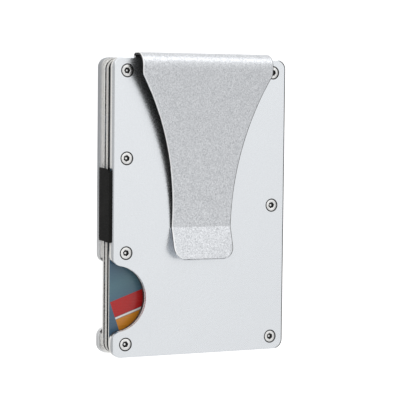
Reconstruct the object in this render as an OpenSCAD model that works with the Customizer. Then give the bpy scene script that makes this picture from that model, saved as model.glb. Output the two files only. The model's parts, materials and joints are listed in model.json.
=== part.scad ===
// Minimalist card wallet: two aluminium halves held together by an elastic loop, with a money clip.
// The wallet lies on its rear face. X is its width, Y its length and Z its thickness.
// The money clip is on the front, at +Z, and bends over the top edge, at +Y.
// The thumb notch is at the lower left, towards -X and -Y.

/* [Plates] */
// Width of the wallet
plate_w = 55.2; // [55.2:0.1:57]
// Length of the wallet
plate_h = 86.4; // [86.4:0.1:89]
// Thickness of the front plate
front_plate_t = 1.2; // [1.0:0.1:1.4]
// Thickness of the rear plate
rear_plate_t = 1.8; // [1.4:0.1:2]
// Radius of the wallet's corners
corner_r = 2.8; // [2:0.1:4]
// Chamfer round the face of each outer plate
edge_chamfer = 0.3; // [0.2:0.05:0.5]
// Thickness of the front chassis
front_chassis_t = 1.5; // [1.5:0.1:2]
// Thickness of the rear chassis
rear_chassis_t = 1.6; // [1.4:0.1:2.4]
// Distance between the two chassis, which is the room for the cards
card_space = 6.5; // [6.2:0.1:9]

/* [Thumb notch] */
// Radius of the round part of the notch
notch_r = 9.6; // [8:0.1:10.5]
// Distance from the bottom edge to the middle of the notch
notch_y = 17.1; // [16.5:0.1:20]
// How far the centre of the notch lies inside the edge
notch_inset = 0.9; // [0:0.1:2]
// Radius of the rounded shoulders of the notch
notch_shoulder_r = 3; // [2:0.1:4]

/* [Cards] */
// Width of a card
card_w = 53.98; // [53:0.01:54]
// Length of a card
card_h = 85.6; // [85:0.1:85.8]
// Thickness of a card
card_t = 0.76; // [0.7:0.01:0.8]
// Corner radius of a card
card_r = 3.18; // [3:0.01:3.5]
// Free space in front of the front card
front_card_gap = 1.05; // [0.5:0.05:1.2]

/* [Money clip] */
// Width of the clip over the top edge
clip_w = 41.5; // [36:0.1:42]
// Width of the clip's narrow leg
clip_neck_w = 18.9; // [16:0.1:24]
// Thickness of the clip's sheet
clip_t = 0.8; // [0.5:0.05:0.8]
// How far the clip stands out from the front plate
clip_proud = 5.4; // [4.7:0.1:6]
// Distance from the bottom edge to the crease where the foot starts
crease_y = 37.7; // [34:0.1:42]
// Angle between the foot and the plate
foot_angle = 18; // [6:1:20]

/* [Elastic] */
// Width of the elastic
band_w = 20.6; // [14:0.1:21]
// Thickness of the elastic
band_t = 0.5; // [0.4:0.05:0.5]

/* [Screws] */
// Radius of a screw head
head_r = 1.9; // [1.6:0.05:2]
// Radius of a screw shaft
shaft_r = 1; // [0.8:0.05:1.1]
// Length of a screw
screw_len = 2.35; // [2:0.05:2.4]

/* [Hidden] */
$fn = 64;

// Small clearance between pieces of one half, and the larger one between pieces that move.
fit = 0.03;
free = 0.1;
over = 1;

// Heights along Z, from the rear face at 0 to the front face.
rear_chassis_z = rear_plate_t;
card_floor_z = rear_chassis_z + rear_chassis_t;
front_chassis_z = card_floor_z + card_space;
front_plate_z = front_chassis_z + front_chassis_t;
front_z = front_plate_z + front_plate_t;

// The clip's sheet crosses the top edge with a little air under it. The origin is at the middle of
// the whole length, clip included. Shapes are drawn from the bottom edge and moved by base_y.
bridge_rise = 0.6;
bridge_y = plate_h + bridge_rise;
base_y = -(bridge_y + clip_t) / 2;

// The chassis sit a little inside the edge of the plates.
chassis_inset = 0.15;

// Screws: four at the corners, two on the left beside the elastic, one halfway up the right side.
screw_inset = 4.2;
corner_screw_inset_y = 3.85;
band_screw_offset = 13.6;
band_y = 43.85;
screw_x = plate_w / 2 - screw_inset;
screw_spots = [[-screw_x, corner_screw_inset_y],
               [-screw_x, band_y - band_screw_offset],
               [-screw_x, band_y + band_screw_offset],
               [-screw_x, plate_h - corner_screw_inset_y],
               [screw_x, corner_screw_inset_y],
               [screw_x, plate_h / 2],
               [screw_x, plate_h - corner_screw_inset_y]];
head_below_face = 0.04;
hex_r = 0.95;
hex_depth = 0.55;

// Elastic: a run inside each half and a span down each side of the cards.
band_inner_x = plate_w / 2 - band_t;
band_room = 0.35;
band_pocket = band_t + 0.15;
band_corner_r = 0.4;
band_eyelet_r = shaft_r + 0.3;

// Money clip. The sheet leaves its pocket, crosses the top edge, bends round and leans in.
front_bend_r = 3.2;
front_bend_y = bridge_y - front_bend_r;
front_bend_z = front_z + clip_proud - front_bend_r - clip_t;
rear_bend_r = 0.6;
tongue_z = front_plate_z - fit - clip_t;
tongue_len = 16;
tongue_y = plate_h - tongue_len;
seam_z = front_z + 0.2;
leg_touch_gap = 0.2;
lean_drop = clip_proud - leg_touch_gap - clip_t;
lean_angle = atan(lean_drop / (front_bend_y - crease_y));
leg_len = (front_bend_y - crease_y) / cos(lean_angle);
foot_len = 9.7;
foot_corner_r = 3.6;
taper_r = 83;
taper_y = 40;
clip_screw_x = 12;
clip_screw_y = plate_h - 10;
clip_head_r = 1.35;
clip_shaft_r = 0.8;
clip_hex_r = 0.7;
clip_hex_depth = 0.35;
clip_screw_skin = 0.4;
clip_screw_len = front_chassis_t + front_plate_t - clip_screw_skin - fit - head_below_face;

// Cards lie in two pairs on the rear half, with one card on its own in front. Card 1 is the front one.
card_y = (plate_h - card_h) / 2;
rear_card_gap = 0.15;
pair_gap = 0.35;
card_pitch = card_t + free;
rear_pair_z = card_floor_z + rear_card_gap;
middle_pair_z = rear_pair_z + 2 * card_t + free + pair_gap;
card_zs = [front_chassis_z - front_card_gap - card_t,
           middle_pair_z + card_pitch,
           middle_pair_z,
           rear_pair_z + card_pitch,
           rear_pair_z];

// Chip module: its contact plate, the moulded back behind it and its place on the card.
chip_w = 11.8;
chip_h = 13;
chip_r = 2;
chip_plate_t = 0.2;
chip_core = 8;
chip_core_t = 0.3;
chip_x = 3.1;
chip_y = card_y + card_h - 15.1;

// A slab of a flat shape, from z to z + t.
module slab(z, t) {
    translate([0, base_y, z])
        linear_extrude(t)
            children();
}

// A rectangle with rounded corners, centred on X and standing on y = 0.
module rounded_rect(w, h, r) {
    translate([-w / 2, r])
        square([w, h - 2 * r]);
    translate([r - w / 2, 0])
        square([w - 2 * r, h]);
    for (x = [r - w / 2, w / 2 - r], y = [r, h - r])
        translate([x, y])
            circle(r);
}

// Points along an arc of radius r about a centre, from one angle to another.
function arc(centre, r, from, to, steps) =
    [for (i = [0:steps])
        let (a = from + (to - from) * i / steps)
        [centre[0] + r * cos(a), centre[1] + r * sin(a)]];

// The thumb notch: a round bite whose shoulders curve out to the edge of the plate.
module notch_shape(grow) {
    edge_x = -plate_w / 2 + grow;
    r = notch_r + grow;
    shoulder = notch_shoulder_r - grow;
    centre_x = notch_inset - plate_w / 2;
    shoulder_x = edge_x + shoulder;
    rise = sqrt(pow(r + shoulder, 2) - pow(shoulder_x - centre_x, 2));
    meet = atan2(rise, shoulder_x - centre_x);
    upper = arc([shoulder_x, notch_y + rise], shoulder, 180, 180 + meet, 10);
    bite = arc([centre_x, notch_y], r, meet, -meet, 40);
    lower = arc([shoulder_x, notch_y - rise], shoulder, 180 - meet, 180, 10);
    inner_bite = [for (i = [1:len(bite) - 2]) bite[i]];
    polygon(concat([[edge_x - over, notch_y + rise]], upper, inner_bite, lower,
                   [[edge_x - over, notch_y - rise]]));
}

// The outline of a chassis, set in from the edge of the plates.
module chassis_shape() {
    difference() {
        translate([0, chassis_inset])
            rounded_rect(plate_w - 2 * chassis_inset, plate_h - 2 * chassis_inset,
                         corner_r - chassis_inset);
        notch_shape(chassis_inset);
    }
}

// Turns its children to face up when dir is 1, or down when it is -1.
module facing(dir) {
    rotate([dir > 0 ? 0 : 180, 0, 0])
        children();
}

// A countersink whose wide end is at height 0 and whose narrow end is below.
module sink(wide_r, narrow_r) {
    translate([0, 0, narrow_r - wide_r])
        cylinder(h = wide_r - narrow_r, r1 = narrow_r, r2 = wide_r);
}

// A round bar from z up to z + len.
module bar(z, len, r) {
    translate([0, 0, z])
        cylinder(h = len, r = r);
}

module at_screws() {
    for (spot = screw_spots)
        translate([spot[0], base_y + spot[1], 0])
            children();
}

module at_clip_screws() {
    for (i = [-1, 0, 1])
        translate([i * clip_screw_x, base_y + clip_screw_y, 0])
            children();
}

// A countersunk hex screw whose head is at height 0 and whose shaft points down.
module screw(wide_r, narrow_r, len, socket_r, socket_depth) {
    head_h = wide_r - narrow_r;
    difference() {
        union() {
            sink(wide_r, narrow_r);
            bar(-len, len - head_h / 2, narrow_r);
        }
        translate([0, 0, -socket_depth])
            cylinder(h = socket_depth + over, r = socket_r, $fn = 6);
    }
}

// A plate of thickness t below its face at height 0, centred, with a chamfer round the face.
module chamfered_block(t) {
    c = edge_chamfer;
    module section(size) {
        polygon([[-size / 2, -t],
                 [-size / 2, -c],
                 [c - size / 2, 0],
                 [size / 2 - c, 0],
                 [size / 2, -c],
                 [size / 2, -t]]);
    }
    translate([0, plate_h / 2 - corner_r, 0])
        rotate([90, 0, 0])
            linear_extrude(plate_h - 2 * corner_r)
                section(plate_w);
    translate([corner_r - plate_w / 2, 0, 0])
        rotate([90, 0, 90])
            linear_extrude(plate_w - 2 * corner_r)
                section(plate_h);
    for (x = [-1, 1], y = [-1, 1])
        translate([x * (plate_w / 2 - corner_r), y * (plate_h / 2 - corner_r), 0]) {
            translate([0, 0, -c])
                cylinder(h = c, r1 = corner_r, r2 = corner_r - c);
            bar(-t, t - c, corner_r);
        }
}

// An outer plate with its face at z, facing up or down: chamfer, thumb notch, countersunk holes.
module outer_plate(z, t, dir) {
    low_z = dir > 0 ? z - t : z;
    difference() {
        translate([0, base_y + plate_h / 2, z])
            facing(dir)
                chamfered_block(t);
        slab(low_z - over, t + 2 * over)
            notch_shape(0);
        at_screws() {
            bar(low_z - over, t + 2 * over, shaft_r + fit);
            translate([0, 0, z])
                facing(dir)
                    sink(head_r + fit + head_below_face, shaft_r + fit);
        }
    }
}

// What both chassis lose: the room for the elastic on their outer side, and the screw holes.
module chassis_cuts(z, t, dir) {
    pocket_z = dir > 0 ? z + t - band_pocket : z - over;
    low_y = base_y + band_y - band_w / 2 - band_room;
    room = band_w + 2 * band_room;
    translate([-plate_w, low_y, pocket_z])
        cube([2 * plate_w, room, band_pocket + over]);
    for (x = [-plate_w - band_inner_x + free, band_inner_x - free])
        translate([x, low_y, z - over])
            cube([plate_w, room, t + 2 * over]);
    at_screws()
        bar(z - over, t + 2 * over, shaft_r + fit);
}

module screw_set(z, dir) {
    at_screws()
        translate([0, 0, z - dir * head_below_face])
            facing(dir)
                screw(head_r, shaft_r, screw_len, hex_r, hex_depth);
}

// The clip seen from the front: full width at the top, then a long concave taper to the foot.
module clip_shape() {
    foot_y = crease_y - foot_len;
    difference() {
        translate([-clip_w / 2, taper_y])
            square([clip_w, bridge_y + over - taper_y]);
        for (side = [-1, 1])
            translate([side * (clip_neck_w / 2 + taper_r), taper_y])
                circle(taper_r, $fn = 180);
    }
    translate([0, foot_y])
        rounded_rect(clip_neck_w, taper_y - foot_y + foot_corner_r, foot_corner_r);
}

// The point at a distance d from p, at an angle.
function away(p, angle, d) = [p[0] + d * cos(angle), p[1] + d * sin(angle)];

// Side view, in Y and Z, of the leg: the rest of the bridge, the bend, the leaning leg and the foot.
module leg_profile() {
    low_z = seam_z + free / 2;
    centre = [front_bend_y, front_bend_z];
    turn = 90 + lean_angle;
    leg_middle = away(centre, turn, front_bend_r + clip_t / 2);
    crease = away(leg_middle, 180 + lean_angle, leg_len);
    mitre = clip_t / 2 / cos((lean_angle + foot_angle) / 2);
    mitre_angle = 90 + (lean_angle - foot_angle) / 2;
    tip = away(crease, 180 - foot_angle, foot_len / cos(foot_angle) + over);
    polygon(concat([[bridge_y + clip_t, low_z]],
                   arc(centre, front_bend_r + clip_t, 0, turn, 14),
                   [away(crease, mitre_angle, mitre)],
                   [away(tip, 90 - foot_angle, clip_t / 2)],
                   [away(tip, 90 - foot_angle, -clip_t / 2)],
                   [away(crease, mitre_angle, -mitre)],
                   arc(centre, front_bend_r, turn, 0, 14),
                   [[bridge_y, low_z]]));
}

// Side view of the tongue: the blade in its pocket, the rear bend and the start of the bridge.
module tongue_profile() {
    high_z = seam_z - free / 2;
    centre = [bridge_y - rear_bend_r, tongue_z + clip_t + rear_bend_r];
    polygon(concat([[tongue_y, tongue_z]],
                   arc(centre, rear_bend_r + clip_t, -90, 0, 12),
                   [[bridge_y + clip_t, high_z]],
                   [[bridge_y, high_z]],
                   arc(centre, rear_bend_r, 0, -90, 12),
                   [[tongue_y, tongue_z + clip_t]]));
}

// Sweeps a side view across the width of the clip.
module across_clip() {
    translate([-clip_w / 2, base_y, 0])
        rotate([90, 0, 90])
            linear_extrude(clip_w)
                children();
}

module front_plate() {
    color("gainsboro")
        difference() {
            outer_plate(front_z, front_plate_t, 1);
            at_clip_screws()
                bar(front_plate_z - over, front_plate_t - clip_screw_skin + over, clip_shaft_r + fit);
        }
}

module front_chassis() {
    color("lightgray")
        difference() {
            slab(front_chassis_z, front_chassis_t)
                chassis_shape();
            chassis_cuts(front_chassis_z, front_chassis_t, 1);
            translate([-clip_w / 2 - free, base_y + tongue_y - free, tongue_z - fit])
                cube([clip_w + 2 * free, tongue_len + over, clip_t + over]);
            at_clip_screws() {
                bar(front_chassis_z - over, front_chassis_t + over, clip_shaft_r + fit);
                translate([0, 0, front_chassis_z])
                    facing(-1)
                        sink(clip_head_r + fit + head_below_face, clip_shaft_r + fit);
            }
        }
}

module front_screws() {
    color("silver")
        screw_set(front_z, 1);
}

module clip_tongue() {
    color("darkgray")
        difference() {
            across_clip()
                tongue_profile();
            at_clip_screws()
                bar(tongue_z - over, clip_t + 2 * over, clip_shaft_r + fit);
        }
}

module clip_leg() {
    color("darkgray")
        intersection() {
            across_clip()
                leg_profile();
            slab(front_z, clip_proud + over)
                clip_shape();
        }
}

module clip_screws() {
    color("silver")
        at_clip_screws()
            translate([0, 0, front_chassis_z + head_below_face])
                facing(-1)
                    screw(clip_head_r, clip_shaft_r, clip_screw_len, clip_hex_r, clip_hex_depth);
}

module rear_plate() {
    color("gainsboro")
        outer_plate(0, rear_plate_t, -1);
}

module rear_chassis() {
    color("lightgray")
        difference() {
            slab(rear_chassis_z, rear_chassis_t)
                chassis_shape();
            chassis_cuts(rear_chassis_z, rear_chassis_t, -1);
        }
}

module rear_screws() {
    color("silver")
        screw_set(0, -1);
}

// The stretch of elastic inside one half, with an eyelet for the middle screw.
module band_run(z) {
    color("dimgray")
        difference() {
            translate([-band_inner_x + free / 2, base_y + band_y - band_w / 2, z])
                cube([2 * band_inner_x - free, band_w, band_t]);
            translate([screw_x, base_y + plate_h / 2, 0])
                bar(z - over, band_t + 2 * over, band_eyelet_r);
        }
}

// The stretch of elastic beside the cards, on the left or right as side is -1 or 1.
module band_span(side) {
    low_z = rear_chassis_z + fit;
    height = front_plate_z - fit - low_z;
    color("dimgray")
        translate([0, base_y + band_y + band_w / 2, low_z])
            mirror([side < 0 ? 1 : 0, 0, 0])
                rotate([90, 0, 0])
                    linear_extrude(band_w)
                        translate([band_inner_x, 0])
                            intersection() {
                                rounded_rect(2 * band_t, height, band_corner_r);
                                square([band_t, height]);
                            }
}

// The outline of the chip's contact plate, grown by a small amount for its pocket.
module chip_shape(grow) {
    translate([chip_x, chip_y - chip_h / 2 - grow])
        rounded_rect(chip_w + 2 * grow, chip_h + 2 * grow, chip_r + grow);
}

module chip_core_shape(grow) {
    side = chip_core + 2 * grow;
    translate([chip_x - side / 2, chip_y - side / 2])
        square(side);
}

module card(i) {
    top_z = card_zs[i] + card_t;
    plate_floor = top_z - chip_plate_t;
    core_floor = plate_floor - chip_core_t;
    difference() {
        slab(card_zs[i], card_t)
            translate([0, card_y])
                rounded_rect(card_w, card_h, card_r);
        slab(plate_floor - fit, card_t)
            chip_shape(fit);
        slab(core_floor - fit, card_t)
            chip_core_shape(fit);
    }
}

module chip(i) {
    plate_floor = card_zs[i] + card_t - chip_plate_t;
    color("goldenrod") {
        slab(plate_floor, chip_plate_t)
            chip_shape(0);
        slab(plate_floor - chip_core_t, chip_core_t + chip_plate_t / 2)
            chip_core_shape(0);
    }
}

front_plate();
front_chassis();
front_screws();
clip_tongue();
clip_leg();
clip_screws();
rear_plate();
rear_chassis();
rear_screws();
band_run(front_plate_z - fit - band_t);  // band_front_run
band_run(rear_chassis_z + fit);  // band_rear_run
band_span(-1);  // band_left_span
band_span(1);  // band_right_span
color("cadetblue") card(0);  // card_1
color("whitesmoke") card(1);  // card_2
color("whitesmoke") card(2);  // card_3
color("lightsteelblue") card(3);  // card_4
color("whitesmoke") card(4);  // card_5
chip(0);  // card_1_chip
chip(1);  // card_2_chip
chip(2);  // card_3_chip
chip(3);  // card_4_chip
chip(4);  // card_5_chip
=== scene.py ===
"""The looks of the card wallet: its materials, and detailed screws, clip, elastic and chips."""

import json
import math

import bmesh
import bpy
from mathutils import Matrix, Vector


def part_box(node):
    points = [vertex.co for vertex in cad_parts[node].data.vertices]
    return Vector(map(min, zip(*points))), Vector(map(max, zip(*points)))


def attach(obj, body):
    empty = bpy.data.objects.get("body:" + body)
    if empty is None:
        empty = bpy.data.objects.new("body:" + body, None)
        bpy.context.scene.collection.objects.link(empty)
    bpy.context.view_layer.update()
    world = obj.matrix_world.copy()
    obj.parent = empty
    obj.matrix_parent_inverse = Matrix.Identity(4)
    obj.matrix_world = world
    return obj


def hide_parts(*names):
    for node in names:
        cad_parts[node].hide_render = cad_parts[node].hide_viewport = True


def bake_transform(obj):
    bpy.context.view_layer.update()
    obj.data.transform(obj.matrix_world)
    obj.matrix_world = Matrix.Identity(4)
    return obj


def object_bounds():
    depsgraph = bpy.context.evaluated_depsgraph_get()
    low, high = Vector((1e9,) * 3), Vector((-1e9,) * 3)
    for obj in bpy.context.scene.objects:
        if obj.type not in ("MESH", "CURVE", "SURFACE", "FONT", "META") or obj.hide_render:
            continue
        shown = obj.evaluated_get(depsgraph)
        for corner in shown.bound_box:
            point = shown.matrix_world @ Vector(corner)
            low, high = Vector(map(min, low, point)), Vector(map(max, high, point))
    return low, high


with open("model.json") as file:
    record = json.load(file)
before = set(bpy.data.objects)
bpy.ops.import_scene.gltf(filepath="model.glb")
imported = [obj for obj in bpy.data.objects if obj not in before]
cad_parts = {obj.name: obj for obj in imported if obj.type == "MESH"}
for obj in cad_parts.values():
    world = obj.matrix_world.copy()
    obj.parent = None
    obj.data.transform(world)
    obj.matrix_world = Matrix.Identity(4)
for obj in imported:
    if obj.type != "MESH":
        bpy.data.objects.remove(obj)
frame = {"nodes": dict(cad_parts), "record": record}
cad_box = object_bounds()

MM = 0.001
nodes = frame["nodes"]
FRONT, REAR, CLIP = "front", "rear", "clip"
UP, DOWN = 1, -1

# The camera looks at the front from the wallet's left. Its angles are measured from the front face's
# normal: round the wallet's length first, and then up towards the clip's bend.
CAMERA_SIDE = math.radians(-25.18)
CAMERA_UP = math.radians(3.56)
CAMERA_ROLL = math.radians(0.60)
CAMERA_DISTANCE = 487.5 * MM
CAMERA_LENS = 150.14
CAMERA_SENSOR = 36.0
CAMERA_NEAR, CAMERA_FAR = 0.01, 20.0
CAMERA_AIM = Vector((-0.17, 1.94, 0.0)) * MM


# ---------------------------------------------------------------- meshes

# Angles between neighbouring faces, in degrees.
FLAT_BELOW = 0.4
SMOOTH_BELOW = 30
BEVEL_ABOVE = 60
SAME_PLACE = 1e-7


def new_object(name, mesh, material, body):
    """Puts a mesh in the scene with its material, riding on a body unless body is None."""
    piece = bpy.data.objects.new(name, mesh)
    bpy.context.scene.collection.objects.link(piece)
    mesh.materials.append(material)
    if body:
        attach(piece, body)
    return piece


def finish_mesh(name, bm, sharp_angle):
    """Turns a bmesh into a smooth mesh whose edges are sharp above an angle in degrees."""
    bmesh.ops.recalc_face_normals(bm, faces=bm.faces)
    mesh = bpy.data.meshes.new(name)
    bm.to_mesh(mesh)
    bm.free()
    smooth(mesh, sharp_angle)
    return mesh


def smooth(mesh, sharp_angle):
    """Shades a mesh smooth, apart from its edges above an angle in degrees."""
    mesh.polygons.foreach_set("use_smooth", [True] * len(mesh.polygons))
    mesh.set_sharp_from_angle(angle=math.radians(sharp_angle))


def bridge(bm, first, second, material=0):
    """Joins two closed rings of the same length with quads."""
    count = len(first)
    for i in range(count):
        j = (i + 1) % count
        bm.faces.new((first[i], first[j], second[j], second[i])).material_index = material


def add_modifier(piece, kind, **settings):
    """Adds a modifier with its settings."""
    modifier = piece.modifiers.new(kind.lower(), kind)
    for name, value in settings.items():
        setattr(modifier, name, value)


def freeze(piece, sharp_angle):
    """Makes a piece's modifiers part of its mesh."""
    graph = bpy.context.evaluated_depsgraph_get()
    mesh = bpy.data.meshes.new_from_object(piece.evaluated_get(graph))
    piece.modifiers.clear()
    piece.data = mesh
    smooth(mesh, sharp_angle)


def dress(name, material, edge_r):
    """Gives a CAD node its material and round edges, after its flat faces have been made whole."""
    piece = nodes[name]
    piece.data.materials[0] = material
    smooth(piece.data, SMOOTH_BELOW)
    add_modifier(piece, "DECIMATE", decimate_type="DISSOLVE", angle_limit=math.radians(FLAT_BELOW))
    add_modifier(piece, "BEVEL", width=edge_r, segments=2, limit_method="ANGLE",
                 angle_limit=math.radians(BEVEL_ABOVE), use_clamp_overlap=True,
                 miter_outer="MITER_ARC", harden_normals=True)


def loose_parts(name):
    """The boxes of a node's separate solids, as (lowest corner, highest corner), from left to right."""
    bm = bmesh.new()
    bm.from_mesh(nodes[name].data)
    bmesh.ops.remove_doubles(bm, verts=bm.verts, dist=SAME_PLACE)
    left = set(bm.verts)
    boxes = []
    while left:
        found = [left.pop()]
        points = []
        while found:
            vert = found.pop()
            points.append(vert.co.copy())
            for edge in vert.link_edges:
                other = edge.other_vert(vert)
                if other in left:
                    left.remove(other)
                    found.append(other)
        low = Vector(min(p[i] for p in points) for i in range(3))
        high = Vector(max(p[i] for p in points) for i in range(3))
        boxes.append((low, high))
    bm.free()
    return sorted(boxes, key=lambda box: (round(box[0].x, 5), round(box[0].y, 5)))


# ---------------------------------------------------------------- sizes and colours of the materials

# Sizes in the materials are in mm. First the plates' shapes, which their finishes follow.
CORNER_R = 2.8
CHAMFER = 0.31
RIGHT_CHAMFER = 0.45
RIGHT_CHAMFER_START = 1.85
COUNTERSINK_R = 1.98
NOTCH_R = 9.6
NOTCH_INSET = 0.9
NOTCH_WALL = 0.06
NOTCH_STEP = 1.4
LEDGE_HALF = 0.6
# Where the rear plate's painted highlight starts, and where the clip's painted shade starts and stops
# growing.
REAR_HIGHLIGHT_BELOW = -4.0
CLIP_SHADE_FROM, CLIP_SHADE_TO = -8.0, 38.0
# A card's layers, its magnetic stripe and its print. The ribbons are measured from its lower left corner.
CORE_HALF = 0.27
PRINT_T = 0.03
CORE_SHADE_BLUR = 2.0
STRIPE_INSET = 9.0
STRIPE_HALF = 6.3
RIBBON_SLOPE = 0.35
RIBBON_START = 5.6
RIBBON_HALF, PALE_HALF, LIGHT_HALF = 2.5, 0.28, 3.5
ORANGE_UP, RED_UP, LIGHT_UP = 7.0, 12.8, 19.5
WAVE_PITCH = 1 / 0.12
WAVE_SWAY = 6.0
WAVE_HALF = 0.10
# Further than any screw.
FAR_AWAY = 1000.0

# Most of a noise's values are between these.
NOISE_LOW, NOISE_HIGH = 0.3, 0.7

# Colours are linear red, green and blue. A pair is a material's darker and lighter colour.
PLATE = (0.815, 0.842, 0.872), (0.835, 0.862, 0.892)
REAR_PLATE = (0.51, 0.53, 0.55), (0.55, 0.57, 0.59)
PLATE_GRAIN = (0.60, 0.61, 0.63)
# Painted highlight on the rear plate's lower end.
REAR_PLATE_HIGHLIGHT = (0.95, 0.96, 0.97)
# Painted shade on the front plate's right chamfer.
RIGHT_CHAMFER_SHADE = (0.07, 0.07, 0.07)
# Painted shade in the plates' countersinks.
COUNTERSINK_SHADE = (0.03, 0.03, 0.03)
NOTCH_WALL_SPECKLE = (0.35, 0.35, 0.35), (0.85, 0.85, 0.85)
CHASSIS = (0.95, 0.94, 0.91)
REAR_CHASSIS = (0.68, 0.69, 0.69)
# Painted highlight along the chassis' ledge.
CHASSIS_LEDGE_HIGHLIGHT = (0.97, 0.97, 0.96)
# Painted shade on the chassis round the thumb notch.
CHASSIS_NOTCH_SHADE = (0.035, 0.03, 0.03)
PAINT_FLAKES = (0.45, 0.467, 0.49), (0.94, 0.957, 0.985)
# Painted shade on the clip, growing higher up.
CLIP_PAINTED_SHADE = (0.45, 0.46, 0.48)
PAINT_CLOUD = (0.60, 0.61, 0.63)
# Painted shade: the clip's cut sides, a dark edge darkened further, and the screws' sockets and head
# rims.
SHEARED_AND_SOCKET_SHADE = (0.02, 0.02, 0.02), (0.06, 0.06, 0.06)
# Painted shade on the clip's inner face and right-hand rims.
INNER_SHADE = (0.07, 0.07, 0.065), (0.12, 0.12, 0.115)
STEEL = (0.70, 0.70, 0.70), (0.90, 0.90, 0.89)
# Painted highlight on the clip's left-hand rims.
RIM_HIGHLIGHT = (0.90, 0.90, 0.90), (0.95, 0.95, 0.95)
YARN = (0.004, 0.004, 0.004), (0.014, 0.014, 0.013)
YARN_FADED = (0.022, 0.021, 0.019)
GOLD = (0.70, 0.47, 0.17), (0.86, 0.62, 0.26)
CARD_BLUE = (0.068, 0.130, 0.195)
CARD_PALE = (0.78, 0.77, 0.74)
CARD_BLACK = (0.006, 0.006, 0.007)
CARD_STRIPE = (0.02, 0.018, 0.016)
# Painted shade on a card's core where the plates cover it.
CARD_CORE_SHADE = (0.04, 0.04, 0.04)
# Painted highlight on the front card.
CARD_HIGHLIGHT = (0.14, 0.28, 0.27)
CARD_WAVE = (0.30, 0.40, 0.52)
RIBBON_RED = (0.42, 0.016, 0.016)
RIBBON_ORANGE = (0.58, 0.22, 0.02)
RIBBON_PALE = (0.75, 0.74, 0.70)
EDGE_PALE = (0.82, 0.81, 0.78)
EDGE_WORN = (0.60, 0.59, 0.57)
EDGE_WHITE = (0.95, 0.95, 0.94)
EDGE_DARK = (0.03, 0.03, 0.03)
EDGE_FLECK = (0.40, 0.39, 0.38)


def box_mm(node):
    """A node's lowest and highest corners, in mm."""
    low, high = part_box(node)
    return low / MM, high / MM


def notch_middle():
    """The middle of the thumb notch's round part, in X and Y, in mm."""
    openings = frame["record"]["physics"]["openings"]
    low, high = next(o["box_m"] for o in openings if o["name"] == "thumb_notch_front")
    return box_mm("front_plate")[0].x + NOTCH_INSET, (low[1] + high[1]) / 2 / MM


def dimmed(colour, share):
    """A colour that gives back only a share of the light."""
    return tuple(share * part for part in colour)


# ---------------------------------------------------------------- shader nodes

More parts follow.
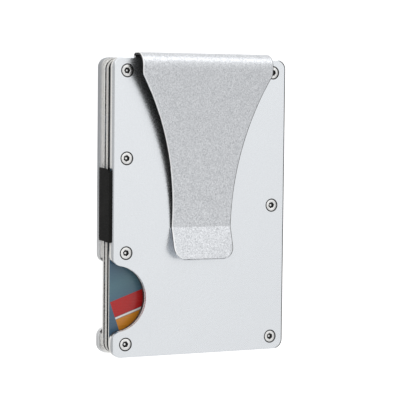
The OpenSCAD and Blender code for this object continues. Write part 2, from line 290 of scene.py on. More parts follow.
class Surface:
    """A material, with short calls for the shader nodes that it is made of."""

    def __init__(self, name, roughness, metallic=0.0):
        self.material = bpy.data.materials.new(name)
        self.material.use_nodes = True
        self.tree = self.material.node_tree
        self.shader = self.tree.nodes["Principled BSDF"]
        self.shader.inputs["Metallic"].default_value = metallic
        self.shader.inputs["Roughness"].default_value = roughness
        place = self.tree.nodes.new("ShaderNodeTexCoord").outputs["Object"]
        self.place = self.scaled(place, (1 / MM, 1 / MM, 1 / MM))

    def node(self, kind, inputs, output, **settings):
        """Adds a node, sets or links its inputs, and gives back one of its outputs."""
        made = self.tree.nodes.new(kind)
        for name, value in settings.items():
            setattr(made, name, value)
        for name, value in inputs.items():
            self.feed(made.inputs[name], value)
        return made.outputs[output]

    def feed(self, socket, value):
        """Links a socket to another node's output, or sets it."""
        if isinstance(value, bpy.types.NodeSocket):
            self.tree.links.new(value, socket)
        else:
            socket.default_value = value

    def set(self, name, value):
        """Links or sets one of the shader's own inputs."""
        self.feed(self.shader.inputs[name], value)

    def scaled(self, vector, scale):
        return self.node("ShaderNodeMapping", {"Vector": vector, "Scale": scale}, "Vector")

    def noise(self, size, detail, stretch=(1, 1, 1)):
        """Noise from 0 to 1 whose blotches are about size mm across. A stretch above 1 narrows them."""
        place = self.scaled(self.place, stretch)
        return self.node("ShaderNodeTexNoise", {"Vector": place, "Scale": 1 / size, "Detail": detail},
                         "Fac")

    def flakes(self, size):
        """A random value for each small cell."""
        return self.node("ShaderNodeTexVoronoi", {"Vector": self.place, "Scale": 1 / size}, "Color")

    def axis(self, name):
        """How far along an axis a point is, in mm."""
        return self.node("ShaderNodeSeparateXYZ", {"Vector": self.place}, name)

    def maths(self, operation, first, second=0.0):
        made = self.tree.nodes.new("ShaderNodeMath")
        made.operation = operation
        self.feed(made.inputs[0], first)
        self.feed(made.inputs[1], second)
        return made.outputs[0]

    def both(self, first, second):
        """1 where both masks are 1."""
        return self.maths("MULTIPLY", first, second)

    def spread(self, value, low, high, to_low=0.0, to_high=1.0):
        """Maps low..high to to_low..to_high, and holds the ends."""
        return self.node("ShaderNodeMapRange",
                         {"Value": value, "From Min": low, "From Max": high,
                          "To Min": to_low, "To Max": to_high}, "Result")

    def vary(self, noise, to_low=0.0, to_high=1.0):
        """Maps a noise's usual values to to_low..to_high."""
        return self.spread(noise, NOISE_LOW, NOISE_HIGH, to_low, to_high)

    def below(self, value, edge, blur):
        """1 where the value is less than the edge, and 0 where it is more, with a blurred edge."""
        return self.spread(value, edge - blur, edge + blur, 1.0, 0.0)

    def above(self, value, edge, blur):
        """0 where the value is less than the edge, and 1 where it is more, with a blurred edge."""
        return self.spread(value, edge - blur, edge + blur, 0.0, 1.0)

    def apart(self, value, middle):
        """How far a value is from the middle, either way."""
        return self.maths("ABSOLUTE", self.maths("SUBTRACT", value, middle))

    def within(self, value, middle, half, blur=0.05):
        """1 where the value is within half of the middle, and 0 outside, with a blurred edge."""
        return self.below(self.apart(value, middle), half, blur)

    def mix(self, share, first, second):
        """A colour between two others: the first where the share is 0, and the second where it is 1."""
        made = self.tree.nodes.new("ShaderNodeMix")
        made.data_type = "RGBA"
        colours = [socket for socket in made.inputs if socket.type == "RGBA"]
        self.feed(made.inputs[0], share)
        self.feed(colours[0], first if isinstance(first, bpy.types.NodeSocket) else (*first, 1))
        self.feed(colours[1], second if isinstance(second, bpy.types.NodeSocket) else (*second, 1))
        return [socket for socket in made.outputs if socket.type == "RGBA"][0]

    def bump(self, height, depth, under=None):
        """A normal from a height of 0 to 1 that stands for a depth in mm, over another normal."""
        inputs = {"Height": height, "Distance": depth * MM}
        if under is not None:
            inputs["Normal"] = under
        return self.node("ShaderNodeBump", inputs, "Normal")

    def distance(self, x, y):
        """How far, in mm, a point is from a place, seen from the front."""
        flat = self.scaled(self.place, (1, 1, 0))
        return self.node("ShaderNodeVectorMath", {0: flat, 1: (x, y, 0)}, "Value", operation="DISTANCE")

    def corner_distance(self, node):
        """How far, in mm, a point is inside the rounded outline of a plate, seen from the front."""
        low, high = box_mm(node)
        x = self.maths("ABSOLUTE", self.axis("X"))
        y = self.apart(self.axis("Y"), (high.y + low.y) / 2)
        reach_x = high.x - CORNER_R
        reach_y = (high.y - low.y) / 2 - CORNER_R
        beyond_x = self.maths("MAXIMUM", self.maths("SUBTRACT", x, reach_x), 0.0)
        beyond_y = self.maths("MAXIMUM", self.maths("SUBTRACT", y, reach_y), 0.0)
        square = self.maths("ADD", self.maths("MULTIPLY", beyond_x, beyond_x),
                            self.maths("MULTIPLY", beyond_y, beyond_y))
        return self.maths("SUBTRACT", CORNER_R, self.maths("SQRT", square))

    def screw_distance(self):
        """How far, in mm, a point is from the axis of the nearest screw in the plates."""
        nearest = FAR_AWAY
        for low, high in loose_parts("front_screws"):
            middle = (low + high) / 2 / MM
            nearest = self.maths("MINIMUM", nearest, self.distance(middle.x, middle.y))
        return nearest


# ---------------------------------------------------------------- materials

def blasted_metal(name, colours, roughness, face_z, lower_end_highlight):
    """Anodised aluminium with a fine grain, polished side chamfers, and painted shade in the
    countersinks.

    The rear plate gets a painted highlight towards its lower end.
    """
    surface = Surface(name, roughness, metallic=1.0)
    half_x = box_mm("front_plate")[1].x
    x = surface.axis("X")
    depth = surface.apart(surface.axis("Z"), face_z)
    at_face = surface.below(depth, CHAMFER, blur=0.02)
    left = surface.both(at_face, surface.below(x, CHAMFER - half_x, blur=0.03))
    cloud = surface.noise(9.0, detail=4.0)
    grain = surface.noise(0.16, detail=2.0)
    tint = surface.mix(surface.vary(cloud), *colours)
    tint = surface.mix(surface.spread(grain, 0.35, 0.65, to_high=0.12), tint, PLATE_GRAIN)
    # Painted highlight: the rear plate is painted lighter towards its lower end.
    if lower_end_highlight:
        tint = surface.mix(surface.below(surface.axis("Y"), REAR_HIGHLIGHT_BELOW, blur=10.0), tint, REAR_PLATE_HIGHLIGHT)
        chamfer = left
    else:
        rim = surface.below(surface.corner_distance("front_plate"), RIGHT_CHAMFER, blur=0.03)
        rim = surface.both(rim, at_face)
        right = surface.both(rim, surface.above(x, half_x - RIGHT_CHAMFER_START, blur=0.95))
        # Painted shade: the front plate's left chamfer is dimmed and its right one darkened.
        tint = surface.mix(left, tint, dimmed(colours[0], share=0.60))
        tint = surface.mix(right, tint, RIGHT_CHAMFER_SHADE)
        chamfer = surface.maths("MAXIMUM", left, right)
    in_notch = surface.below(surface.distance(*notch_middle()), NOTCH_R + NOTCH_WALL, blur=0.04)
    wall = surface.both(in_notch, surface.above(depth, CHAMFER, blur=0.03))
    speckle = surface.spread(surface.noise(0.35, detail=3.0), 0.4, 0.6)
    tint = surface.mix(wall, tint, surface.mix(speckle, *NOTCH_WALL_SPECKLE))
    # Painted shade in the countersinks, round the screw heads.
    countersink = surface.below(surface.screw_distance(), COUNTERSINK_R, blur=0.02)
    surface.set("Base Color", surface.mix(countersink, tint, COUNTERSINK_SHADE))
    rough = surface.maths("ADD", surface.vary(cloud, roughness - 0.015, roughness + 0.015),
                          surface.vary(grain, -0.03, 0.03))
    rough = surface.maths("SUBTRACT", rough, surface.maths("MULTIPLY", chamfer, 0.12))
    surface.set("Roughness", surface.maths("ADD", rough, surface.maths("MULTIPLY", wall, 0.4)))
    surface.set("Metallic", surface.maths("SUBTRACT", 1.0, wall))
    surface.set("Normal", surface.bump(grain, depth=0.009))
    return surface.material


def milled_metal(name, colour, roughness, metallic, ledge_z):
    """Milled frame: fine lines round its edges, a painted highlight at ledge_z, painted shade by the
    notch.
    """
    surface = Surface(name, roughness, metallic=metallic)
    lines = surface.noise(0.5, detail=4.0, stretch=(0.15, 0.15, 5))
    cloud = surface.noise(6.0, detail=3.0)
    tint = surface.mix(surface.vary(cloud), dimmed(colour, share=0.86), colour)
    # Painted highlight along the ledge, a band at ledge_z.
    ledge_highlight = surface.within(surface.axis("Z"), ledge_z, LEDGE_HALF, blur=0.25)
    tint = surface.mix(ledge_highlight, tint, CHASSIS_LEDGE_HIGHLIGHT)
    # Painted shade round the thumb notch.
    in_notch = surface.below(surface.distance(*notch_middle()), NOTCH_R + NOTCH_STEP, blur=0.2)
    surface.set("Base Color", surface.mix(in_notch, tint, CHASSIS_NOTCH_SHADE))
    surface.set("Roughness", surface.vary(lines, roughness - 0.06, roughness + 0.06))
    surface.set("Normal", surface.bump(lines, depth=0.01))
    return surface.material


def sparkling_metal(name):
    """The clip's metallic paint: small bright flakes in a slightly pebbled coat, with painted shade
    higher up.
    """
    surface = Surface(name, 0.38, metallic=1.0)
    pebble = surface.noise(0.3, detail=3.0)
    cloud = surface.noise(12.0, detail=2.0)
    flakes = surface.maths("ADD", surface.flakes(0.22), surface.flakes(0.12))
    flakes = surface.maths("MULTIPLY", flakes, 0.5)
    tint = surface.mix(surface.spread(flakes, 0.2, 0.8), *PAINT_FLAKES)
    # Painted shade: the clip's paint is darker higher up.
    upward = surface.spread(surface.axis("Y"), CLIP_SHADE_FROM, CLIP_SHADE_TO, to_high=0.22)
    tint = surface.mix(upward, tint, CLIP_PAINTED_SHADE)
    surface.set("Base Color", surface.mix(surface.vary(cloud, to_high=0.12), tint, PAINT_CLOUD))
    surface.set("Roughness", surface.spread(flakes, 0.2, 0.9, 0.42, 0.26))
    surface.set("Normal", surface.bump(pebble, depth=0.02, under=surface.bump(flakes, depth=0.02)))
    return surface.material


def dark_metal(name, colours):
    """Darkened metal for painted shade: on the clip's sheared edge, right rims and inner face, and in the
    screws' sockets, round their heads and on their shafts.
    """
    surface = Surface(name, 0.5, metallic=1.0)
    streak = surface.noise(0.5, detail=4.0, stretch=(1, 1, 3))
    surface.set("Base Color", surface.mix(surface.vary(streak), *colours))
    surface.set("Normal", surface.bump(streak, depth=0.02))
    return surface.material


def bright_steel(name, colours):
    """Plated steel with fine scratches and stains."""
    surface = Surface(name, 0.22, metallic=1.0)
    scratch = surface.noise(0.35, detail=5.0, stretch=(1, 0.2, 1))
    stain = surface.noise(1.3, detail=3.0)
    stained, clean = colours
    surface.set("Base Color", surface.mix(surface.spread(stain, 0.35, 0.7), clean, stained))
    surface.set("Roughness", surface.vary(scratch, 0.16, 0.34))
    surface.set("Normal", surface.bump(scratch, depth=0.006))
    return surface.material


def woven_elastic(name):
    """Black elastic: spun yarns that are a little lighter on top, with fuzz."""
    surface = Surface(name, 0.85)
    yarn = surface.noise(0.3, detail=4.0, stretch=(1, 3, 1))
    fuzz = surface.noise(0.12, detail=2.0)
    faded = surface.noise(5.0, detail=3.0)
    tint = surface.mix(surface.spread(yarn, 0.35, 0.7), *YARN)
    surface.set("Base Color", surface.mix(surface.spread(faded, 0.5, 0.8, to_high=0.3), tint, YARN_FADED))
    surface.set("Roughness", surface.vary(fuzz, 0.75, 0.95))
    surface.set("Specular IOR Level", 0.15)
    surface.set("Sheen Weight", 0.03)
    surface.set("Sheen Roughness", 0.4)
    surface.set("Normal", surface.bump(fuzz, depth=0.03, under=surface.bump(yarn, depth=0.04)))
    return surface.material


def chip_gold(name):
    """Brushed gold plating."""
    surface = Surface(name, 0.28, metallic=1.0)
    brush = surface.noise(0.4, detail=4.0, stretch=(6, 0.4, 1))
    dull, bright = GOLD
    surface.set("Base Color", surface.mix(surface.vary(brush), bright, dull))
    surface.set("Roughness", surface.vary(brush, 0.22, 0.40))
    surface.set("Normal", surface.bump(brush, depth=0.004))
    return surface.material


def card_plastic(number, face, back, edge, fleck, art=None, core_shade=False):
    """Laminated card: a flecked core between two printed layers, gloss film, and fine scratches.

    A card can have painted shade on its core, dark above the lowest third, where the plates cover it. A
    black card is matt.
    """
    low, high = box_mm(f"card_{number}")
    surface = Surface(f"card_{number}_print", 0.28)
    scratch = surface.noise(0.6, detail=6.0, stretch=(0.08, 1, 1))
    cloud = surface.noise(14.0, detail=2.0)
    speckle = surface.noise(0.45, detail=3.0)
    z = surface.axis("Z")
    ink = surface.mix(surface.spread(cloud, 0.35, 0.65), face, dimmed(face, share=0.88))
    if art:
        ink = art(surface, ink)
    behind = surface.below(z, low.z + PRINT_T, blur=0.01)
    stripe = surface.within(surface.axis("X"), high.x - STRIPE_INSET, STRIPE_HALF)
    ink = surface.mix(behind, ink, back)
    ink = surface.mix(surface.both(stripe, behind), ink, CARD_STRIPE)
    core = surface.within(z, (low.z + high.z) / 2, CORE_HALF, blur=0.02)
    core_tint = surface.mix(surface.spread(speckle, 0.45, 0.6), edge, fleck)
    # Painted shade: the core is dark above the lowest third, where the plates cover the card.
    if core_shade:
        third = low.y + (high.y - low.y) / 3
        core_tint = surface.mix(surface.spread(surface.axis("Y"), third, third + CORE_SHADE_BLUR), core_tint,
                                CARD_CORE_SHADE)
    surface.set("Base Color", surface.mix(core, ink, core_tint))
    surface.set("Roughness", surface.maths("ADD", surface.spread(scratch, 0.45, 0.75, 0.22, 0.38),
                                           surface.maths("MULTIPLY", core, 0.3)))
    matt = face == CARD_BLACK
    surface.set("Coat Weight", 0.0 if matt else 0.2)
    surface.set("Specular IOR Level", 0.1 if matt else 0.35)
    surface.set("Coat Roughness", 0.12)
    relief = surface.maths("ADD", scratch, surface.maths("MULTIPLY", speckle, core))
    surface.set("Normal", surface.bump(relief, depth=0.006))
    return surface.material


def ribbons(surface, ground):
    """Two slanted ribbons across the lower corner of a card, with a pale line between them, and a faint
    painted highlight above them.
    """
    low, _ = box_mm("card_1")
    x, y = surface.axis("X"), surface.axis("Y")
    across = surface.maths("SUBTRACT", y, surface.maths("MULTIPLY", x, RIBBON_SLOPE))
    along = surface.maths("ADD", x, surface.maths("MULTIPLY", y, RIBBON_SLOPE))
    corner = low.y - RIBBON_SLOPE * low.x
    orange_middle = corner + ORANGE_UP
    red_middle = corner + RED_UP
    # A faint painted highlight in a band above the ribbons.
    light = surface.within(across, corner + LIGHT_UP, LIGHT_HALF, blur=3.0)
    tint = surface.mix(surface.maths("MULTIPLY", light, 0.3), ground, CARD_HIGHLIGHT)
    begun = surface.above(along, low.x + RIBBON_SLOPE * low.y + RIBBON_START, blur=0.05)
    for middle, half, paint in ((red_middle, RIBBON_HALF, RIBBON_RED),
                                (orange_middle, RIBBON_HALF, RIBBON_ORANGE),
                                ((red_middle + orange_middle) / 2, PALE_HALF, RIBBON_PALE)):
        tint = surface.mix(surface.both(begun, surface.within(across, middle, half)), tint, paint)
    return tint


def wave_lines(surface, ground):
    """Pale contour lines over a card."""
    sway = surface.maths("MULTIPLY", surface.noise(22.0, detail=1.0), WAVE_SWAY)
    height = surface.maths("ADD", surface.maths("DIVIDE", surface.axis("Y"), WAVE_PITCH), sway)
    on_line = surface.within(surface.maths("FRACT", height), 0.5, WAVE_HALF, blur=0.06)
    return surface.mix(surface.maths("MULTIPLY", on_line, 0.35), ground, CARD_WAVE)


plate_metal = blasted_metal("plate_metal", PLATE, 0.27, box_mm("front_plate")[1].z, lower_end_highlight=False)
rear_plate_metal = blasted_metal("rear_plate_metal", REAR_PLATE, 0.36, box_mm("rear_plate")[0].z,
                                 lower_end_highlight=True)
chassis_metal = milled_metal("chassis_metal", CHASSIS, 0.38, 0.0, box_mm("front_chassis")[1].z)
rear_chassis_metal = milled_metal("rear_chassis_metal", REAR_CHASSIS, 0.30, 1.0,
                                  box_mm("rear_chassis")[1].z)
clip_metal = sparkling_metal("clip_metal")
# Painted shade: near black on the clip's cut sides, and in the screws' sockets and round their heads.
shaded_metal = dark_metal("shaded_metal", SHEARED_AND_SOCKET_SHADE)
# Painted shade on the clip's inner face and right-hand rims.
inner_shade_metal = dark_metal("inner_shade_metal", INNER_SHADE)
screw_metal = bright_steel("screw_metal", STEEL)
# A painted highlight on the clip's left-hand rims.
rim_highlight_metal = bright_steel("rim_highlight_metal", RIM_HIGHLIGHT)
elastic = woven_elastic("elastic")
gold = chip_gold("chip_gold")


# ---------------------------------------------------------------- plates, chassis and cards

PLATE_EDGE_R = 0.16 * MM
CHASSIS_EDGE_R = 0.12 * MM
CARD_EDGE_R = 0.08 * MM

# From the front card to the rear one.
CARDS = [{"face": CARD_BLUE, "back": CARD_BLACK, "edge": EDGE_PALE, "fleck": EDGE_WORN,
          "art": ribbons, "core_shade": True},
         # Card 2's black, matt print also stands in for the shade in the narrow gap behind the front
         # card.
         {"face": CARD_BLACK, "back": CARD_PALE, "edge": EDGE_PALE, "fleck": EDGE_WORN},
         {"face": CARD_PALE, "back": CARD_PALE, "edge": EDGE_PALE, "fleck": EDGE_WORN,
          "art": wave_lines},
         {"face": CARD_BLACK, "back": CARD_BLACK, "edge": EDGE_DARK, "fleck": EDGE_FLECK,
          "art": wave_lines},
         {"face": CARD_PALE, "back": CARD_PALE, "edge": EDGE_WHITE, "fleck": EDGE_PALE}]


def dress_cad_nodes():
    """Gives the CAD nodes that stay their materials and softened edges."""
    dress("front_plate", plate_metal, PLATE_EDGE_R)
    dress("rear_plate", rear_plate_metal, PLATE_EDGE_R)
    dress("front_chassis", chassis_metal, CHASSIS_EDGE_R)
    dress("rear_chassis", rear_chassis_metal, CHASSIS_EDGE_R)
    for number, looks in enumerate(CARDS, 1):
        dress(f"card_{number}", card_plastic(number, **looks), CARD_EDGE_R)
        nodes[f"card_{number}_chip"].data.materials[0] = gold


# ---------------------------------------------------------------- screws

PLATE_SCREW = {"head_r": 1.9 * MM, "shaft_r": 1.0 * MM, "hex_r": 0.95 * MM, "hex_depth": 0.55 * MM}
CLIP_SCREW = {"head_r": 1.35 * MM, "shaft_r": 0.8 * MM, "hex_r": 0.7 * MM, "hex_depth": 0.35 * MM}
SCREW_SIDES = 48
SCREW_PITCH = 0.35 * MM
SCREW_GROOVE_SHARE = 0.12
SCREW_FIRST_TURN = 8
SCREW_NEXT_TURN = 37
HEAD_RIM_SHARE = 0.2
HEAD_RIM_STEPS = 5
HEX_CORNER = math.pi / 3
SOCKET_TIP_R_SHARE = 0.34
SOCKET_TIP_DEPTH_SHARE = 1.12
SOCKET_CHAMFER_DEPTH = 0.07 * MM
SOCKET_CHAMFER_W = 0.10 * MM
SOCKET_FLAT_W = 0.22 * MM


def ring(bm, centre, up, radius, height, turned=0.0, hexagon=False):
    """A ring of points about a screw's axis. A hexagon's radius is to its corners."""
    made = []
    for i in range(SCREW_SIDES):
        angle = math.tau * i / SCREW_SIDES
        reach = radius
        if hexagon:
            reach *= math.cos(HEX_CORNER / 2) / math.cos(angle % HEX_CORNER - HEX_CORNER / 2)
        place = Vector((math.cos(angle + turned) * reach, math.sin(angle + turned) * reach, up * height))
        made.append(bm.verts.new(centre + place))
    return made


def add_screw(bm, box, up, turned, head_r, shaft_r, hex_r, hex_depth):
    """A countersunk screw with a hex socket, a round rim and a threaded shaft, facing up or down."""
    low, high = box
    length = high.z - low.z
    centre = Vector(((low.x + high.x) / 2, (low.y + high.y) / 2, high.z if up > 0 else low.z))
    rim = HEAD_RIM_SHARE * head_r
    cone = head_r - shaft_r
    groove_r = shaft_r - SCREW_GROOVE_SHARE * shaft_r
    rings = [ring(bm, centre, up, SOCKET_TIP_R_SHARE * hex_r, -hex_depth * SOCKET_TIP_DEPTH_SHARE,
                  turned, True),
             ring(bm, centre, up, hex_r, -hex_depth, turned, True),
             ring(bm, centre, up, hex_r, -SOCKET_CHAMFER_DEPTH, turned, True)]
    socket_end = len(rings)
    rings += [ring(bm, centre, up, hex_r + SOCKET_CHAMFER_W, 0.0, turned, True),
              ring(bm, centre, up, hex_r + SOCKET_FLAT_W, 0.0, turned)]
    head_end = len(rings)
    for step in range(1, HEAD_RIM_STEPS + 1):
        angle = math.pi / 2 * step / HEAD_RIM_STEPS
        rings.append(ring(bm, centre, up, head_r - rim * (1 - math.sin(angle)),
                          -rim * (1 - math.cos(angle)), turned))
    rings.append(ring(bm, centre, up, shaft_r, -cone - rim, turned))
    depth = cone + rim + SCREW_PITCH
    while depth < length - SCREW_PITCH:
        rings.append(ring(bm, centre, up, shaft_r, -depth, turned))
        rings.append(ring(bm, centre, up, groove_r, -depth - SCREW_PITCH / 2, turned))
        depth += SCREW_PITCH
    rings.append(ring(bm, centre, up, groove_r, -length, turned))
    for i, (first, second) in enumerate(zip(rings, rings[1:]), 1):
        # Painted shade: the socket, but for a small middle, the head's rim and the shaft take the dark
        # metal.
        shaded = i < socket_end or i > head_end
        bridge(bm, first, second, 1 if shaded else 0)
    bm.faces.new(rings[0]).material_index = 0
    bm.faces.new(rings[-1]).material_index = 1


def make_screws(node, body, up, sizes):
    """Detailed screws in the place of a node's screws, each turned its own way."""
    bm = bmesh.new()
    for i, box in enumerate(loose_parts(node)):
        add_screw(bm, box, up, math.radians(SCREW_NEXT_TURN * i + SCREW_FIRST_TURN), **sizes)
    mesh = finish_mesh(node + "_detail", bm, sharp_angle=35)
    piece = new_object(node + "_detail", mesh, screw_metal, body)
    mesh.materials.append(shaded_metal)
    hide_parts(node)


# ---------------------------------------------------------------- money clip

CLIP_T = 0.8 * MM
CLIP_EDGE_R = 0.24 * MM
CLIP_REAR_BEND_R = 0.6 * MM
CLIP_FRONT_BEND_R = 3.2 * MM
CLIP_TOUCH_GAP = 0.2 * MM
CLIP_FOOT_ANGLE = math.radians(18)
CLIP_FOOT_CORNER_R = 3.6 * MM
CLIP_CORNER_STEPS = 10
CLIP_NECK_W = 18.9 * MM
CLIP_TAPER_R = 83.0 * MM
CLIP_TAPER_ABOVE_CREASE = 2.3 * MM
CLIP_COLUMNS = 16
# Places in the clip's list of materials, after its paint.
CLIP_SHEARED, CLIP_RIM_HIGHLIGHT, CLIP_INNER_SHADE = 1, 2, 3
# The least part of a face's normal along an axis for it to count as facing in, out, sideways or flat
# against the side.
FACING_IN, FACING_OUT, SIDEWAYS, FLAT_SIDE = 0.3, 0.05, 0.2, 0.9


def arc(centre, radius, first, last, steps):
    """Points in (y, z) along an arc, its first point left out."""
    return [(centre[0] + radius * math.cos(first + (last - first) * i / steps),
             centre[1] + radius * math.sin(first + (last - first) * i / steps))
            for i in range(1, steps + 1)]


def line(start, end, steps):
    """Points in (y, z) along a line, its first point left out."""
    return [(start[0] + (end[0] - start[0]) * i / steps, start[1] + (end[1] - start[1]) * i / steps)
            for i in range(1, steps + 1)]


def clip_path(crease_y):
    """The sheet's middle as (y, z), from the tongue in its pocket to the foot's end.

    The second value is the number of points before the leg starts.
    """
    leg_low, leg_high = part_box("clip_leg")
    tongue_low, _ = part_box("clip_tongue")
    _, plate_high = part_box("front_plate")
    half = CLIP_T / 2
    bridge_y = leg_high.y - half
    tongue_z = tongue_low.z + half
    rear_r = CLIP_REAR_BEND_R + half
    rear_centre = (bridge_y - rear_r, tongue_z + rear_r)
    front_r = CLIP_FRONT_BEND_R + half
    front_centre = (bridge_y - front_r, leg_high.z - half - front_r)
    drop = leg_high.z - plate_high.z - CLIP_TOUCH_GAP - CLIP_T
    lean = math.atan(drop / (front_centre[0] - crease_y))

    path = [(tongue_low.y, tongue_z)]
    path += line(path[-1], (rear_centre[0], tongue_z), steps=6)
    path += arc(rear_centre, rear_r, -math.pi / 2, 0, steps=8)
    path += line(path[-1], (bridge_y, front_centre[1]), steps=12)
    path += arc(front_centre, front_r, 0, math.pi / 2 + lean, steps=16)
    before_leg = len(path)

    leg_length = (front_centre[0] - crease_y) / math.cos(lean)
    crease = (path[-1][0] - leg_length * math.cos(lean), path[-1][1] - leg_length * math.sin(lean))
    path += line(path[-1], crease, steps=48)
    corner_y = leg_low.y + CLIP_FOOT_CORNER_R
    straight = crease[0] - corner_y
    rise = math.tan(CLIP_FOOT_ANGLE)
    path += line(crease, (corner_y, crease[1] + straight * rise), steps=6)
    for step in range(1, CLIP_CORNER_STEPS + 1):
        beyond = CLIP_FOOT_CORNER_R * math.sin(math.pi / 2 * step / CLIP_CORNER_STEPS)
        path.append((corner_y - beyond, crease[1] + (straight + beyond) * rise))
    return path, before_leg


def clip_half_width(y, full, crease_y, corner_y):
    """Half the leg's width: a long concave taper down to the neck, and the foot's round corners."""
    beyond = y - crease_y - CLIP_TAPER_ABOVE_CREASE
    width = CLIP_NECK_W / 2
    if beyond > 0:
        width += CLIP_TAPER_R - math.sqrt(CLIP_TAPER_R ** 2 - beyond ** 2)
    into_corner = corner_y - y
    if into_corner > 0:
        width -= CLIP_FOOT_CORNER_R - math.sqrt(max(CLIP_FOOT_CORNER_R ** 2 - into_corner ** 2, 0.0))
    return min(full, width)


def finish_clip_faces(mesh, crease_y):
    """Sheared sides darkened as painted shade; a painted highlight on the left rims, painted shade on the
    right rims and the inner face down to the foot.
    """
    for metal in (shaded_metal, rim_highlight_metal, inner_shade_metal):
        mesh.materials.append(metal)
    plate_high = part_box("front_plate")[1]
    for face in mesh.polygons:
        facing, middle = face.normal, face.center
        under_leg = -facing.z > FACING_IN and middle.z > plate_high.z and middle.y > crease_y
        under_bridge = -facing.y > FACING_IN and middle.y > plate_high.y
        outward = facing.y + facing.z > FACING_OUT
        # Outward rims: a painted highlight on the left ones, painted shade on the right ones.
        if abs(facing.x) > SIDEWAYS and outward:
            face.material_index = CLIP_RIM_HIGHLIGHT if facing.x < 0 else CLIP_INNER_SHADE
        # Sheared sides: a dark cut edge, darkened further as painted shade.
        elif abs(facing.x) > FLAT_SIDE:
            face.material_index = CLIP_SHEARED
        # Painted shade on the inner face of the leg and the bridge.
        elif under_leg or under_bridge:
            face.material_index = CLIP_INNER_SHADE


def make_clip():
    """One bent sheet from the tongue in its pocket, over the top edge and down to the foot."""
    leg_low, leg_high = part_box("clip_leg")
    crease_y = next(m["pos_m"][1] for m in frame["record"]["mounts"] if m["name"] == "clip_grip")
    path, before_leg = clip_path(crease_y)
    bm = bmesh.new()
    rows = []
    for i, (y, z) in enumerate(path):
        width = leg_high.x
        if i >= before_leg:
            width = clip_half_width(y, leg_high.x, crease_y, leg_low.y + CLIP_FOOT_CORNER_R)
        rows.append([bm.verts.new((width * (2 * k / CLIP_COLUMNS - 1), y, z))
                     for k in range(CLIP_COLUMNS + 1)])
    for first, second in zip(rows, rows[1:]):
        for k in range(CLIP_COLUMNS):
            bm.faces.new((first[k], first[k + 1], second[k + 1], second[k]))
    mesh = finish_mesh("clip_sheet", bm, sharp_angle=12)
    piece = new_object("clip_sheet", mesh, clip_metal, None)
    add_modifier(piece, "SOLIDIFY", thickness=CLIP_T, offset=0.0, use_even_offset=True)
    add_modifier(piece, "BEVEL", width=CLIP_EDGE_R, segments=3, limit_method="ANGLE",
                 angle_limit=math.radians(45), use_clamp_overlap=False)
    freeze(piece, sharp_angle=14)
    finish_clip_faces(piece.data, crease_y)
    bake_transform(piece)
    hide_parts("clip_tongue", "clip_leg")


# ---------------------------------------------------------------- elastic

BAND_CORNER_R = 0.30 * MM
BAND_BULGE = 0.75 * MM
BAND_FOLD_REACH = 1.07 * MM
BAND_FOLD_R = 0.26 * MM
BAND_FOLD_BELOW_FACE = 0.1 * MM
BAND_RISE_SHARE = 0.35
BAND_ROUNDNESS = 0.7
BAND_STEP = 0.12 * MM
BAND_RUN_STEP = 1.6 * MM
BAND_RIBS = 23
RIB_SAMPLES = 4
RIB_HEIGHT = 0.07 * MM
RIB_ROUNDNESS = 0.6
PICK_HEIGHT = 0.03 * MM
PICK_PITCH = 0.85 * MM
SELVEDGE = 0.35 * MM
# The long edges' waves, as (height, length).
EDGE_WAVES = ((0.07 * MM, 6.1 * MM), (0.04 * MM, 2.3 * MM))
TOP_LIFT = 0.45 * MM
TOP_LIFT_SKEW = 0.8
BOTTOM_DROP = 0.3 * MM
TUCK = 0.8 * MM
TUCK_FROM, TUCK_TO = 0.92, 1.12


def hold(value):
    """A value kept between 0 and 1."""
    return min(max(value, 0.0), 1.0)


def round_corner(x, z, radius, start, end, steps=7):
    """Points round an arc in X and Z, each with its direction outward from the arc's middle."""
    points = []
    for step in range(steps):
        angle = math.radians(start + (end - start) * step / (steps - 1))
        out = (math.cos(angle), math.sin(angle))
        points.append((x + radius * out[0], z + radius * out[1], *out))
    return points


def flat_run(start_x, end_x, z, out_z):
    """Evenly spaced points along a flat run of the elastic, without its two ends."""
    steps = round(abs(end_x - start_x) / BAND_RUN_STEP)
    return [(start_x + (end_x - start_x) * step / steps, z, 0.0, out_z) for step in range(1, steps)]


def upright(half_x, first_z, last_z, proud):
    """Points up a side of the loop, without its two ends, each proud of half_x by proud(share)."""
    steps = round((last_z - first_z) / BAND_STEP)
    shares = [step / steps for step in range(1, steps)]
    return [(half_x + proud(share), first_z + (last_z - first_z) * share, 1.0, 0.0) for share in shares]


def bulge(share):
    """The plain side's shallow bulge."""
    return BAND_BULGE * math.sin(math.pi * share) ** BAND_ROUNDNESS


def step_out(share):
    """The folded side's way out past the front plate's edge."""
    return BAND_FOLD_REACH * math.sin(math.pi / 2 * hold(share / BAND_RISE_SHARE)) ** BAND_ROUNDNESS


def plain_side(half_x, low_z, high_z):
    """One side of the loop: out of the rear pocket, a shallow bulge and back into the front pocket."""
    corner_x = half_x - BAND_CORNER_R
    first_z, last_z = low_z + BAND_CORNER_R, high_z - BAND_CORNER_R
    side = round_corner(corner_x, first_z, BAND_CORNER_R, -90, 0)
    side += upright(half_x, first_z, last_z, bulge)
    return side + round_corner(corner_x, last_z, BAND_CORNER_R, 0, 90)


def folded_side(half_x, low_z, high_z, fold_z):
    """The other side: out of the rear pocket, over the front plate's edge and down into its pocket."""
    outer_x = half_x + BAND_FOLD_REACH
    inner_x = outer_x - 2 * BAND_FOLD_R
    first_z, last_z = low_z + BAND_CORNER_R, fold_z - BAND_FOLD_R
    side = round_corner(half_x - BAND_CORNER_R, first_z, BAND_CORNER_R, -90, 0)
    side += upright(half_x, first_z, last_z, step_out)
    side += round_corner(outer_x - BAND_FOLD_R, last_z, BAND_FOLD_R, 0, 180, steps=11)
    pocket = round_corner(inner_x - BAND_CORNER_R, high_z + BAND_CORNER_R, BAND_CORNER_R, 0, -90)
    return side + [(x, z, -out_x, -out_z) for x, z, out_x, out_z in pocket]


